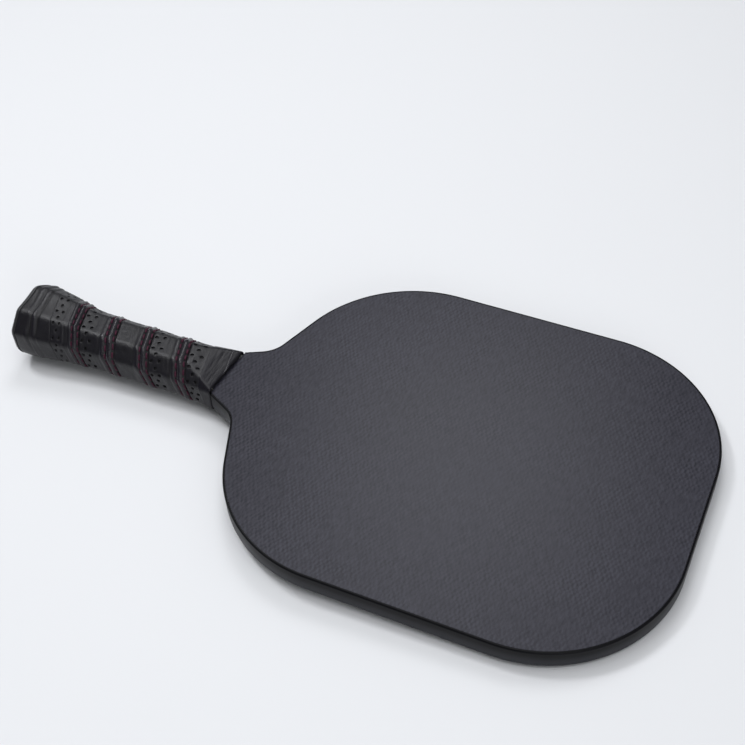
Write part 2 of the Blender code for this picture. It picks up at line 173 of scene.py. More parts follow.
# ---- holes of the strip ----
HOLES = ((2.025, 2.15), (2.025, 6.80), (6.075, 4.50))
FIRST_HOLE_SHARE = 0.25
HOLE_RADIUS = 0.98
HOLE_SIDES = 12
HOLE_DEPTH = 1.0
HOLE_CLEARANCE = 0.42
HOLE_RIM = 0.22
HOLE_RIM_DROP = 0.10
HOLE_FLOOR_SHARE = 0.86
RIM_TOLERANCE = 0.01
# Tiles whose holes are only dimples, and the first tile that has holes.
CLOSED_HOLES = (25, 31)
CLOSED_DEPTH = 0.05
FIRST_HOLES = -1

# ---- relief of the strip ----
# Raised lines along the strip: place across it, height and reach.
STRIP_RIDGES = ((STRIP_WIDTH - 3.15, 0.86, 1.25), (ROW_A - 2.0, 0.42, 1.2), (1.0, 0.16, 0.6))
SEAM_DEPTH = 0.95
SEAM_REACH = 0.42
START_SEAM_DEPTH = 0.15
START_SEAM_REACH = 0.3
ROW_DEPTH = 0.50
ROW_WAVE = 0.12
ROW_REACH = 0.62
PLAIN_START = 7.9
PLAIN_END = ROW_A - 0.9
PLAIN_FADE = 1.2
LEVEL = -0.10
UNDERSIDE_RELIEF = -1.0
RELIEF_MIDDLE = 0.45
# Slack creases of the start: place, climb in a turn, height and reach.
START_CREASES = (
    (12.3, 9.0, -0.40, 0.60),
    (14.3, 10.5, 0.30, 1.0),
    (16.4, 12.0, -0.36, 0.65),
    (10.1, 9.0, 0.26, 1.1),
)
CREASE_TURNS = (-0.02, 0.30, 0.52)
CREASE_FADES = (0.16, 0.14)
RIM_TUCK = 0.30
RIM_TUCK_REACH = 0.7
TAPE_SINK = 0.50
TAPE_SINK_START = 0.4
TAPE_SINK_REACH = 1.4

# ---- stitches ----
STITCH_PITCH = 4.6
STITCH_LENGTH = 3.7
STITCH_HALF_WIDTH = 0.58
STITCH_FIRST_TURN = 0.80
STITCH_FADE = 0.1
STITCH_RINGS = 9
STITCH_SIDES = 8
STITCH_TIP = 0.10
STITCH_LIFT = -0.10
STITCH_DIP = 0.42
STITCH_FLATNESS = 0.72
STITCH_SLANT = 0.12
STITCH_TAPE_GAP = 0.9
MOST_STITCHES = 150
ROW_PHASES = ((ROW_A, 0.35), (ROW_B, 0.10))

# ---- finishing tape ----
# Where its butt-side edge lies, by turns: it starts further up on the near side.
TAPE_TURNS = (0.0, 0.54, 0.90, 1.0)
TAPE_PLACES = (112.6, 124.5, 124.5, 112.6)
TAPE_TURN_SHIFT = 0.02
TAPE_SIDES = 240
TAPE_LIP = ((0.0, -0.30), (0.10, 0.02), (0.45, 0.16))
TAPE_LIP_END = TAPE_LIP[-1][0]
TAPE_EDGE = 0.35
TAPE_LIFT = 0.20
TAPE_RIPPLE = 0.07
TAPE_UNDERSIDE = -0.30

# ---- butt cap ----
CAP_RIM = 4.0
CAP_FLOOR = 8.5
CAP_SIDES = 160
CAP_BORE = (60.0, 2.45)
CAP_BORE_RIDGE = 0.6
CAP_SLEEVE = (38.0, 33.0, 28.0, 23.0, 18.0, 14.0, 10.0, 7.0, 4.4)
CAP_SLEEVE_DEPTH = 2.2
CAP_SLEEVE_RIDGE = 0.8
CAP_LIP = ((4.4, -0.60), (4.36, -0.28), (4.28, -0.10), (4.15, -0.02))
CAP_DOME_DEGREES = (4, 12, 22, 34, 46, 58, 70, 80, 88)
BADGE_SCALE = 0.62
BADGE_RECESS = 1.1
BADGE_RIDGE = 2.0
BADGE_GAP = 0.30
SOCKET_STEPS = ((0.0, BADGE_SCALE + 0.008), (0.12, BADGE_SCALE), (BADGE_RECESS, BADGE_SCALE))
BADGE_STEPS = ((0.0, 0.80), (0.0, 0.32), (0.12, 0.20), (1.0, 0.20), (1.25, 0.36), (2.2, 0.36))

# ---- camera and light ----
# The camera, the floor's size, the glow and the lights are in metres.
CAMERA_PLACE = (0.21717, -0.38302, 0.53320)
CAMERA_TURN_DEGREES = (42.1626, 2.6424, 23.9443)
CAMERA_LENS = 61.5
CAMERA_SENSOR = 36.0
FLOOR_COLOR = (0.690, 0.696, 0.712)
FLOOR_DROP = 0.3
FLOOR_SIZE = 12.0
BUTT_CONTACT = BUTT + 10.0
TIP_CONTACT = TIP - 1.0
TIP_CONTACT_HEIGHT = FACE_BOTTOM - 0.05
SKY_COLOR = (0.965, 0.98, 1.0, 1.0)
SKY_SEEN = 0.88
GLOW_RADII = (0.7, 3.0)
GLOW = 0.42
OPEN_SIDE = (-0.15, -0.80, 0.58)
OPEN_SPAN = (0.25, 0.90)
OPEN_LEVELS = (0.46, 0.08)
HORIZON_SPAN = (-0.05, 0.60)
HORIZON_LEVELS = (0.18, 1.0)
# Area lights: name, place, target, size, power in watts and colour.
LIGHTS = (
    ("overhead_softbox", (-0.05, -0.20, 1.50), (0.02, 0.0, 0.0), (1.3, 1.0), 12.0, (0.975, 0.985, 1.0)),
    ("far_softbox", (-0.26, 0.83, 1.22), (0.07, -0.02, 0.02), (0.50, 0.50), 4.9, (0.97, 0.98, 1.0)),
    ("handle_softbox", (-0.90, 0.20, 1.40), (-0.13, 0.0, 0.03), (0.30, 0.30), 9.5, (0.96, 0.975, 1.0)),
    ("fill_softbox", (0.90, -1.10, 0.70), (-0.10, 0.0, 0.0), (0.8, 0.6), 5.0, (0.96, 0.98, 1.0)),
)


# ---- small helpers ----
def new_object(name, data):
    item = bpy.data.objects.new(name, data)
    bpy.context.scene.collection.objects.link(item)
    return item


def new_piece(name, mesh, finish, nodes, sharp_degrees=40.0):
    """Adds a piece that rides on the body and stands for CAD nodes."""
    mesh.materials.append(finish)
    mesh.shade_smooth()
    mesh.set_sharp_from_angle(angle=math.radians(sharp_degrees))
    item = new_object(name, mesh)
    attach(item, BODY)
    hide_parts(*nodes)


def mesh_from(name, points, faces):
    """Mesh from points in millimetres and faces of point numbers."""
    mesh = bpy.data.meshes.new(name)
    mesh.from_pydata([tuple(value * MM for value in point) for point in points], [], faces)
    return mesh


def outward(mesh):
    form = bmesh.new()
    form.from_mesh(mesh)
    bmesh.ops.recalc_face_normals(form, faces=form.faces)
    form.to_mesh(mesh)
    form.free()
    return mesh


def ring_faces(ring_count, per_ring, looped=False):
    """Faces between rings that follow each other, capped or joined end to end."""
    faces = []
    for ring in range(ring_count if looped else ring_count - 1):
        base = ring * per_ring
        above = (ring + 1) % ring_count * per_ring
        for index in range(per_ring):
            after = (index + 1) % per_ring
            faces.append((base + index, base + after, above + after, above + index))
    if not looped:
        faces.append(tuple(reversed(range(per_ring))))
        faces.append(tuple(range((ring_count - 1) * per_ring, ring_count * per_ring)))
    return faces


def shifted(faces, offset):
    """Faces whose point numbers start at an offset."""
    return [tuple(index + offset for index in face) for face in faces]


def ring_solid(name, rings, looped=False):
    points = [tuple(point) for ring in rings for point in ring]
    faces = ring_faces(len(rings), len(rings[0]), looped)
    return outward(mesh_from(name, points, faces))


def between(low, high, share):
    return low + (high - low) * share


def ease(value):
    """Smooth step from 0 to 1."""
    share = np.clip(value, 0.0, 1.0)
    return share * share * (3.0 - 2.0 * share)


def lattice_noise(u, v, seed):
    """Seeded smooth noise between -1 and 1, one lump per unit of u and v."""
    size = 128
    table = np.random.default_rng(seed).uniform(-1.0, 1.0, (size, size))
    column = np.floor(u).astype(int)
    row = np.floor(v).astype(int)
    across = ease(u - column)
    left = column % size
    right = (column + 1) % size
    here, there = (
        between(table[left, near % size], table[right, near % size], across)
        for near in (row, row + 1)
    )
    return between(here, there, ease(v - row))


# ---- node helpers ----
def new_finish(name, color, roughness, metallic=0.0):
    finish = bpy.data.materials.new(name)
    finish.use_nodes = True
    shader = finish.node_tree.nodes["Principled BSDF"]
    shader.inputs["Base Color"].default_value = (*color, 1.0)
    shader.inputs["Roughness"].default_value = roughness
    shader.inputs["Metallic"].default_value = metallic
    return finish, finish.node_tree, shader


def add_node(tree, kind, **values):
    node = tree.nodes.new(kind)
    for key, value in values.items():
        setattr(node, key, value)
    return node


def math_node(tree, operation, first, second=None, third=None):
    """Result of one sum. Each input is an output of another node or a number."""
    node = add_node(tree, "ShaderNodeMath", operation=operation)
    for source, target in zip((first, second, third), node.inputs):
        if isinstance(source, (int, float)):
            target.default_value = source
        elif source is not None:
            tree.links.new(source, target)
    return node.outputs[0]


def times(tree, first, second):
    return math_node(tree, "MULTIPLY", first, second)


def plus(tree, first, second):
    return math_node(tree, "ADD", first, second)


def line(tree, value, slope, start):
    """The value times the slope, plus the start."""
    return math_node(tree, "MULTIPLY_ADD", value, slope, start)


def object_place(tree, size, turn=(0.0, 0.0, 0.0)):
    """Object coordinates, scaled so that 1 is so many millimetres along X, Y and Z."""
    x, y, z = size if isinstance(size, tuple) else (size, size, size)
    source = add_node(tree, "ShaderNodeTexCoord")
    mapping = add_node(tree, "ShaderNodeMapping")
    mapping.inputs["Scale"].default_value = (1.0 / (x * MM), 1.0 / (y * MM), 1.0 / (z * MM))
    mapping.inputs["Rotation"].default_value = turn
    tree.links.new(source.outputs["Object"], mapping.inputs["Vector"])
    return mapping.outputs["Vector"]


def noise(tree, size, detail=2.0, roughness=0.5, turn=(0.0, 0.0, 0.0)):
    """Noise with lumps of so many millimetres."""
    node = add_node(tree, "ShaderNodeTexNoise")
    node.inputs["Scale"].default_value = 1.0
    node.inputs["Detail"].default_value = detail
    node.inputs["Roughness"].default_value = roughness
    tree.links.new(object_place(tree, size, turn), node.inputs["Vector"])
    return node.outputs["Fac"]


def cells(tree, size):
    """Distance from the middle of each cell, with cells of so many millimetres."""
    node = add_node(tree, "ShaderNodeTexVoronoi", feature="F1")
    node.inputs["Scale"].default_value = 1.0
    tree.links.new(object_place(tree, size), node.inputs["Vector"])
    return node.outputs["Distance"]


def spread(tree, value, low, high, span=(0.0, 1.0), curve="LINEAR"):
    """Maps a value's span to the range low to high."""
    node = add_node(tree, "ShaderNodeMapRange", interpolation_type=curve)
    names = ("From Min", "From Max", "To Min", "To Max")
    for name, number in zip(names, (*span, low, high)):
        node.inputs[name].default_value = number
    tree.links.new(value, node.inputs["Value"])
    return node.outputs["Result"]


def separated(tree, vector):
    """The X, Y and Z outputs of a vector."""
    node = add_node(tree, "ShaderNodeSeparateXYZ")
    tree.links.new(vector, node.inputs[0])
    return node.outputs


def paint(tree, shader, color, roughness=None, specular=None):
    """Links colour and roughness, and sets the specular level on its own socket."""
    tree.links.new(color, shader.inputs["Base Color"])
    if roughness is not None:
        tree.links.new(roughness, shader.inputs["Roughness"])
    if specular is not None:
        shader.inputs["Specular IOR Level"].default_value = specular


def blend_colors(tree, value, dark, light):
    node = add_node(tree, "ShaderNodeMix", data_type="RGBA")
    tree.links.new(value, node.inputs["Factor"])
    node.inputs[6].default_value = (*dark, 1.0)
    node.inputs[7].default_value = (*light, 1.0)
    return node.outputs[2]


def bump(tree, shader, layers):
    """Chains bumps: each layer is a height output and its depth in millimetres."""
    before = None
    for height, depth in layers:
        node = add_node(tree, "ShaderNodeBump")
        node.inputs["Strength"].default_value = 1.0
        node.inputs["Distance"].default_value = depth * MM
        tree.links.new(height, node.inputs["Height"])
        if before is not None:
            tree.links.new(before, node.inputs["Normal"])
        before = node.outputs["Normal"]
    tree.links.new(before, shader.inputs["Normal"])


def grained(name, dark, light, roughness, grain, depth):
    """General finish: mottled colour, uneven gloss and a fine grain."""
    finish, tree, shader = new_finish(name, dark, between(*roughness, 0.5))
    mottle = noise(tree, 9.0, detail=3.0)
    fine = noise(tree, grain, detail=3.0, roughness=0.6)
    paint(tree, shader, blend_colors(tree, mottle, dark, light), spread(tree, mottle, *roughness))
    bump(tree, shader, [(fine, depth)])
    return finish


# ---- finishes ----
def woven(tree):
    """Height of crossed tows, between -1 and 1, that wander and run slack."""
    place = separated(tree, object_place(tree, (1.20, 2.1, 10.0)))
    wander = times(tree, noise(tree, 14.0, detail=1.0), 0.5)
    slack = times(tree, noise(tree, (3.4, 2.2, 5.0)), 2.2)
    along = plus(tree, place["X"], wander)
    across = plus(tree, place["Y"], slack)
    warp = math_node(tree, "SINE", times(tree, along, math.pi))
    weft = math_node(tree, "SINE", times(tree, across, math.pi))
    return times(tree, warp, weft)


def carbon_finish():
    """Matt carbon cloth: fine woven tows under a gritty clear coat."""
    finish, tree, shader = new_finish("woven_carbon_matt", (0.05, 0.05, 0.06), 0.5)
    over = woven(tree)
    crown = math_node(tree, "ABSOLUTE", over)
    worn = noise(tree, 24.0, detail=3.0)
    tone = line(tree, over, line(tree, worn, 0.95, -0.22), 0.5)
    patch = noise(tree, (1.3, 4.6, 3.0), detail=3.0, roughness=0.7)
    broad = noise(tree, 60.0)
    tone = plus(tree, tone, line(tree, patch, 1.8, -0.90))
    tone = plus(tree, tone, line(tree, broad, 0.4, -0.2))
    color = blend_colors(tree, tone, (0.0125, 0.0122, 0.0180), (0.0370, 0.0366, 0.0490))
    gloss = line(tree, over, 0.03, 0.30)
    gloss = plus(tree, gloss, times(tree, broad, 0.04))
    paint(tree, shader, color, gloss, 0.16)
    grit = noise(tree, 0.28, roughness=0.6)
    bump(tree, shader, [(crown, 0.006), (grit, 0.007)])
    return finish


def edge_finish():
    """Black edge paint with scuffs along the rim; its colour holds painted shade, dead black under the
    front face, and a painted reflection of the floor, paler towards the back face.
    """
    finish, tree, shader = new_finish("satin_black_edge", (0.012, 0.012, 0.015), 0.40)
    mottle = noise(tree, 16.0, detail=3.0)
    scuff = noise(tree, (2.5, 2.5, 0.35), detail=3.0, roughness=0.7)
    wander = line(tree, mottle, 1.0, -0.5)
    # Colour by height: painted shade under the front face, grading into a painted reflection of the
    # floor towards the back face; the scuffs are wear.
    height = separated(tree, object_place(tree, 1.0))["Z"]
    height = plus(tree, height, wander)
    span = (FACE_TOP - EDGE_PAINTED_SHADE_BAND, FACE_BOTTOM + EDGE_PAINTED_REFLECTION_BAND)
    band = spread(tree, height, 0.0, 1.0, span, "SMOOTHSTEP")
    tone = times(tree, band, line(tree, scuff, 0.6, 0.7))
    color = blend_colors(tree, tone, (0.0022, 0.0022, 0.0032), (0.0275, 0.0282, 0.0335))
    gloss = plus(tree, spread(tree, mottle, 0.34, 0.46), spread(tree, scuff, -0.04, 0.05))
    paint(tree, shader, color, gloss, 0.11)
    peel = noise(tree, 1.6, detail=1.0)
    bump(tree, shader, [(peel, 0.012), (scuff, 0.006)])
    return finish


def leather_finish():
    """Black leatherette: pebbled grain, soft creases, glossier rubbed high places, with painted shade
    in the grooves and holes and a painted highlight on the ridges.
    """
    finish, tree, shader = new_finish("black_cushioned_leatherette", (0.014, 0.013, 0.016), 0.4)
    relief = add_node(tree, "ShaderNodeAttribute", attribute_name="relief")
    warped = noise(tree, 4.0, detail=3.0)
    pebble = cells(tree, 0.62)
    pore = noise(tree, 0.22)
    mottle = line(tree, warped, 0.6, -0.3)
    # The strip's relief sets the colour: painted shade in the seams, stitch grooves and holes, a
    # painted highlight on the ridges, plus a random mottle; the same value makes the high places
    # glossier.
    relief_shade_and_rub = plus(tree, relief.outputs["Fac"], mottle)
    color = blend_colors(tree, relief_shade_and_rub, (0.0022, 0.0020, 0.0033), (0.0092, 0.0082, 0.0124))
    paint(tree, shader, color, spread(tree, relief_shade_and_rub, 0.54, 0.25), 0.38)
    bump(tree, shader, [(pebble, 0.075), (pore, 0.020), (warped, 0.13)])
    return finish


def thread_finish():
    """Crimson twisted thread."""
    finish, tree, shader = new_finish("crimson_thread", (0.16, 0.010, 0.030), 0.62)
    twist = add_node(tree, "ShaderNodeTexWave", wave_type="BANDS", bands_direction="DIAGONAL")
    twist.inputs["Scale"].default_value = 0.31
    twist.inputs["Distortion"].default_value = 1.0
    tree.links.new(object_place(tree, 0.30), twist.inputs["Vector"])
    wear = times(tree, noise(tree, 3.0), 0.5)
    tone = line(tree, twist.outputs["Fac"], 0.5, wear)
    color = blend_colors(tree, tone, (0.016, 0.002, 0.007), (0.066, 0.006, 0.027))
    paint(tree, shader, color, specular=0.25)
    bump(tree, shader, [(twist.outputs["Fac"], 0.06)])
    return finish


def tape_finish():
    """Smooth black vinyl with slack creases from its stretching, with painted shade in their hollows
    and a painted highlight on their crests.
    """
    finish, tree, shader = new_finish("black_finishing_tape", (0.016, 0.016, 0.018), 0.36)
    crease = noise(tree, (3.0, 14.0, 9.0), detail=3.0, turn=(0.0, 0.0, 0.2))
    fine = noise(tree, 0.5)
    # Colour follows the creases' height: painted shade in the hollows, a painted highlight on the
    # crests.
    color = blend_colors(tree, crease, (0.004, 0.004, 0.006), (0.010, 0.009, 0.013))
    paint(tree, shader, color, spread(tree, crease, 0.26, 0.46), 0.22)
    bump(tree, shader, [(crease, 0.36), (fine, 0.010)])
    return finish


def cloth_veil_finish():
    """White fibre veil that bonds the core to the skins."""
    finish, tree, shader = new_finish("white_veil", (0.75, 0.75, 0.72), 0.85)
    fiber = noise(tree, (0.4, 3.0, 1.0), detail=4.0, turn=(0.0, 0.0, 0.5))
    other = noise(tree, (3.0, 0.4, 1.0), detail=4.0, turn=(0.0, 0.0, 0.3))
    mix = times(tree, fiber, other)
    tone = times(tree, mix, 2.5)
    paint(tree, shader, blend_colors(tree, tone, (0.55, 0.55, 0.52), (0.82, 0.82, 0.79)))
    bump(tree, shader, [(mix, 0.08)])
    return finish


def foam_finish(name, dark, light, cell):
    """Closed-cell foam."""
    finish, tree, shader = new_finish(name, dark, 0.8)
    bubble = cells(tree, cell)
    color = blend_colors(tree, bubble, dark, light)
    paint(tree, shader, color, spread(tree, bubble, 0.7, 0.9))
    bump(tree, shader, [(bubble, cell * 0.3)])
    return finish


def steel_finish():
    """Drawn steel wire."""
    finish, tree, shader = new_finish("plated_steel_wire", (0.60, 0.60, 0.58), 0.3, 1.0)
    drawn = noise(tree, (0.08, 4.0, 0.08))
    color = blend_colors(tree, drawn, (0.48, 0.48, 0.47), (0.68, 0.68, 0.66))
    paint(tree, shader, color, spread(tree, drawn, 0.22, 0.42))
    bump(tree, shader, [(drawn, 0.01)])
    return finish


# ---- outline of the head ----
def unit(vector):
    size = math.hypot(*vector)
    return (vector[0] / size, vector[1] / size)


def line_crossing(start, direction, other_start, other_direction):
    cross = direction[0] * other_direction[1] - direction[1] * other_direction[0]
    dx = other_start[0] - start[0]
    dy = other_start[1] - start[1]
    along = (dx * other_direction[1] - dy * other_direction[0]) / cross
    return (start[0] + along * direction[0], start[1] + along * direction[1])


def rounded_corner(before, corner, after, radius, steps):
    back = unit((before[0] - corner[0], before[1] - corner[1]))
    ahead = unit((after[0] - corner[0], after[1] - corner[1]))
    half_angle = math.acos(back[0] * ahead[0] + back[1] * ahead[1]) / 2
    middle = unit((back[0] + ahead[0], back[1] + ahead[1]))
    reach = radius / math.sin(half_angle)
    center = (corner[0] + middle[0] * reach, corner[1] + middle[1] * reach)
    tangent = radius / math.tan(half_angle)
    first = (corner[0] + back[0] * tangent, corner[1] + back[1] * tangent)
    last = (corner[0] + ahead[0] * tangent, corner[1] + ahead[1] * tangent)
    start = math.atan2(first[1] - center[1], first[0] - center[0])
    turn = math.atan2(last[1] - center[1], last[0] - center[0]) - start
    turn = (turn + math.pi) % (2 * math.pi) - math.pi
    arc = []
    for step in range(steps + 1):
        angle = start + turn * step / steps
        arc.append((center[0] + radius * math.cos(angle), center[1] + radius * math.sin(angle)))
    return arc


def half_outline(inset, throat):
    """Outline at y >= 0 moved inwards by inset, from x = throat to the tip."""
    corners = [
        (THROAT, NECK_HALF_WIDTH),
        NECK_CORNER,
        (SHOULDER_X, HALF_WIDTH),
        (TIP, HALF_WIDTH),
        (TIP, 0.0),
    ]
    sides = []
    for start, end in zip(corners, corners[1:]):
        direction = unit((end[0] - start[0], end[1] - start[1]))
        moved = (start[0] + direction[1] * inset, start[1] - direction[0] * inset)
        sides.append((moved, direction))
    crossings = [line_crossing(*side, *following) for side, following in zip(sides, sides[1:])]
    first = line_crossing(*sides[0], (throat, 0.0), (0.0, 1.0))
    path = [first] + crossings + [(TIP - inset, 0.0)]
    radii = (NECK_RADIUS + inset, SHOULDER_RADIUS - inset, TIP_RADIUS - inset)
    points = [first]
    for index, radius in enumerate(radii, start=1):
        steps = ARC_STEPS // 2 if index == 1 else ARC_STEPS
        points += rounded_corner(path[index - 1], path[index], path[index + 1], radius, steps)
    return points


def head_rim(inset):
    """Open outline from the throat at +Y round the tip to the throat at -Y."""
    skew = THROAT_SKEW * NECK_HALF_WIDTH
    upper = half_outline(inset, RIM_START + skew)
    lower = half_outline(inset, RIM_START - skew)
    return upper + [(x, -y) for x, y in reversed(lower)]


def blank_outline(inset):
    """Closed outline of a skin: the head and the tang inside the handle."""
    skew = THROAT_SKEW * TANG_HALF_WIDTH
    start = [(TANG_END, TANG_HALF_WIDTH), (RIM_START + skew, TANG_HALF_WIDTH)]
    end = [(RIM_START - skew, -TANG_HALF_WIDTH), (TANG_END, -TANG_HALF_WIDTH)]
    return start + head_rim(inset) + end


# ---- section of the handle ----
def half_widths(places):
    """Half width of the wrapped handle, with the breaks between stations eased."""
    reach = np.linspace(-EASE_REACH, EASE_REACH, EASE_SAMPLES)
    weight = np.exp(-0.5 * (reach / EASE_SPREAD) ** 2)
    total = np.zeros_like(places)
    for shift, share in zip(reach, weight / weight.sum()):
        total += share * np.interp(places + shift, STATION_X, STATION_HALF_WIDTH)
    return total


def section(place, depth):
    """Octagon at a place from the butt: half width and height, top and side."""
    outer = float(half_widths(np.array([place]))[0])
    across = ACROSS_SHARE * outer
    down = DOWN_SHARE * outer
    level = down * (outer - across) + across * HEIGHT_SHARE * outer
    level -= depth * math.hypot(across, down)
    width = outer - depth
    start = HEIGHT_SHARE * PLAIN_HALF_WIDTH
    slope = (start - RAMP_END_HEIGHT) / (HANDLE_LENGTH - RAMP_START)
    ramp = RAMP_END_HEIGHT + (HANDLE_LENGTH - place) * slope
    ramp -= depth * math.hypot(1.0, slope)
    height = min(HEIGHT_SHARE * outer - depth, ramp)
    top = min((level - across * height) / down, width)
    side = min((level - down * width) / across, height)
    return width, height, top, side


def rounded_octagon(sizes, radius, count, low_radius=None):
    """Points and outward directions, evenly spaced from the middle of +Y."""
    low_radius = radius if low_radius is None else low_radius
    width, height, top, side = sizes
    upper = [(width, side), (top, height), (-top, height), (-width, side)]
    corners = upper + [(-y, -z) for y, z in upper]
    rows = [(width, 0.0, 1.0, 0.0)]
    for index, corner in enumerate(corners):
        ridge = radius if index < len(upper) else low_radius
        before = corners[index - 1]
        after = corners[(index + 1) % len(corners)]
        rows += ridge_rows(before, corner, after, ridge)
    rows.append(rows[0])
    rows = np.array(rows)
    steps = np.hypot(np.diff(rows[:, 0]), np.diff(rows[:, 1]))
    length = np.concatenate(([0.0], np.cumsum(steps)))
    wanted = np.linspace(0.0, length[-1], count + 1)
    even = [np.interp(wanted, length, rows[:, column]) for column in range(4)]
    return np.stack(even, 1), length[-1]


def ridge_rows(before, corner, after, radius):
    """Arc of points and directions that rounds one corner of the octagon."""
    start = math.atan2(-(corner[0] - before[0]), corner[1] - before[1])
    turn = math.atan2(-(after[0] - corner[0]), after[1] - corner[1]) - start
    turn = (turn + math.pi) % (2 * math.pi) - math.pi
    bisector = start + turn / 2
    reach = radius / math.cos(turn / 2)
    center_y = corner[0] - reach * math.cos(bisector)
    center_z = corner[1] - reach * math.sin(bisector)
    rows = []
    for step in range(RIDGE_STEPS + 1):
        angle = start + turn * step / RIDGE_STEPS
        out_y = math.cos(angle)
        out_z = math.sin(angle)
        rows.append((center_y + radius * out_y, center_z + radius * out_z, out_y, out_z))
    return rows


def handle_table():
    """The handle's outside at every half millimetre, with its girth."""
    places = np.arange(0.0, TABLE_END, TABLE_STEP)
    table = []
    girth = []
    for place in places:
        share = float(ease((place - RAMP_START) / (HANDLE_LENGTH - RAMP_START)))
        radius = between(RIDGE_RADIUS, RIDGE_RADIUS_AT_THROAT, share)
        flare = float(ease(1.0 - place / LOW_RIDGE_END))
        low_radius = between(radius, LOW_RIDGE_RADIUS_AT_BUTT, flare)
        sizes = section(min(place, LAST_SECTION), 0.0)
        rows, length = rounded_octagon(sizes, radius, AROUND, low_radius)
        table.append(rows)
        girth.append(length)
    return places, np.array(table), np.array(girth)


PLACES, TABLE, GIRTH = handle_table()
# Just short of the last row, so that every place has a row after it.
LAST_ROW = len(PLACES) - 1.001


def bulge(place, turn):
    """Extra thickness where the strip's start is overlapped, on the +Y side."""
    offset = (turn - BULGE_CENTER + 0.5) % 1.0 - 0.5
    window = ease(1.0 - np.abs(offset) / BULGE_REACH)
    return np.interp(place, BULGE_X, BULGE_LIFT) * window


def on_handle(place, turn, lift):
    """Points on the handle: place from the butt, turns round it, height above it."""
    row = np.clip(place / TABLE_STEP, 0.0, LAST_ROW)
    low = np.floor(row).astype(int)
    along = (row - low)[:, None]
    column = (turn % 1.0) * AROUND
    left = np.floor(column).astype(int)
    around = (column - left)[:, None]
    near = between(TABLE[low, left], TABLE[low, left + 1], around)
    far = between(TABLE[low + 1, left], TABLE[low + 1, left + 1], around)
    value = between(near, far, along)
    height = lift + bulge(place, turn)
    y = value[:, 0] + height * value[:, 2]
    z = value[:, 1] + height * value[:, 3]
    skew = THROAT_SKEW * y * ease((place - SKEW_START) / (HANDLE_LENGTH - SKEW_START))
    return np.stack([BUTT + place + skew, y, MID + z], 1)


# ---- spiral ----
def seam_place(turn):
    """Distance from the butt of the strip's first edge after so many turns."""
    rows = np.zeros_like(turn, dtype=float)
    for shift in SEAM_EASE_TURNS:
        rows += np.interp(turn + shift, ROW_TURNS, ROW_PLACES) / len(SEAM_EASE_TURNS)
    return rows + ROW_B_FROM_EDGE


def strip_to_handle(length, across):
    """Place and turn of a point given along and across the strip."""
    start = np.interp(length / TILE_LENGTH - FIRST_HOLE_SHARE, HOLE_COUNTS, HOLE_TURNS)
    climb = seam_place(start + 1.0) - seam_place(start)
    girth = np.interp(seam_place(start), PLACES, GIRTH)
    turn = start - across * (climb / np.hypot(girth, climb)) / girth
    share = across / STRIP_WIDTH
    return between(seam_place(turn), seam_place(turn + 1.0), share), turn


def length_at(turn):
    """Length along the strip's first edge after so many turns."""
    count = float(np.interp(turn, HOLE_TURNS, HOLE_COUNTS))
    return (count + FIRST_HOLE_SHARE) * TILE_LENGTH


def bell(value, center, reach):
    return np.exp(-((value - center) / reach) ** 2)


def start_creases(place, turn):
    """Slack creases where the strip's unstitched start goes round the flare."""
    # The first wrap's turns are counted from -1.
    turn = turn + 1.0
    first, middle, last = CREASE_TURNS
    fade = ease((turn - first) / CREASE_FADES[0]) * ease((last - turn) / CREASE_FADES[1])
    crease = np.zeros_like(place)
    for start, climb, height, reach in START_CREASES:
        crease += height * bell(place, start + climb * (turn - middle), reach)
    return crease * fade


def wrinkles(length, across):
    """Fine wrinkles along the strip's plain band."""
    plain = ease((across - PLAIN_START) / PLAIN_FADE) * ease((PLAIN_END - across) / PLAIN_FADE)
    crease = lattice_noise(across / 0.95, length / 19.0, 11) * 0.11
    crease += lattice_noise(across / 2.1 + 9.0, length / 13.0, 12) * 0.22
    return crease * plain


def strip_relief(length, across, place, turn):
    """Height of the strip's surface above its even wrap."""
    seam_turn = turn + np.where(across > STRIP_WIDTH / 2, 1.0, 0.0)
    stitched = ease((seam_turn - STITCH_FIRST_TURN + STITCH_FADE) / STITCH_FADE)
    relief = np.zeros_like(across)
    for middle, height, reach in STRIP_RIDGES:
        relief += height * bell(across, middle, reach)
    edge = np.minimum(across, STRIP_WIDTH - across)
    relief -= SEAM_DEPTH * bell(edge, 0.0, SEAM_REACH)
    for row, phase in ROW_PHASES:
        wave = np.cos(2 * math.pi * (length / STITCH_PITCH - phase))
        relief -= (ROW_DEPTH - ROW_WAVE * wave) * bell(across, row, ROW_REACH)
    start_seam = START_SEAM_DEPTH * bell(edge, 0.0, START_SEAM_REACH)
    relief = relief * stitched - start_seam * (1.0 - stitched)
    relief += wrinkles(length, across)
    relief += 0.08 * lattice_noise(across / 3.0, length / 8.0, 13)
    return relief + LEVEL + start_creases(place, turn)


def end_rounding(place, turn):
    """Lowers the strip where it is rolled under at the rim, and under the tape."""
    lower = -RIM_TUCK * ease((GRIP_START + RIM_TUCK_REACH - place) / RIM_TUCK_REACH)
    under_tape = ease((place - tape_start(turn) - TAPE_SINK_START) / TAPE_SINK_REACH)
    return lower - TAPE_SINK * under_tape


def hole_distance(along, across):
    """Distance in the tile from the middle of its nearest hole."""
    return min(math.hypot(along - a, across - b) for a, b in HOLES)


def tile_points():
    """Flat points of the tile, and the edges of the rings round its holes."""
    points = []
    for step in range(TILE_STEPS + 1):
        along = TILE_LENGTH * step / TILE_STEPS
        for across in TILE_ACROSS:
            if hole_distance(along, across) > HOLE_RADIUS + HOLE_CLEARANCE:
                points.append((along, across))
    edges = []
    for along, across in HOLES:
        for radius in (HOLE_RADIUS, HOLE_RADIUS + HOLE_RIM):
            first = len(points)
            for side in range(HOLE_SIDES):
                angle = 2 * math.pi * side / HOLE_SIDES
                points.append((along + radius * math.cos(angle), across + radius * math.sin(angle)))
                edges.append((first + side, first + (side + 1) % HOLE_SIDES))
    return points, edges


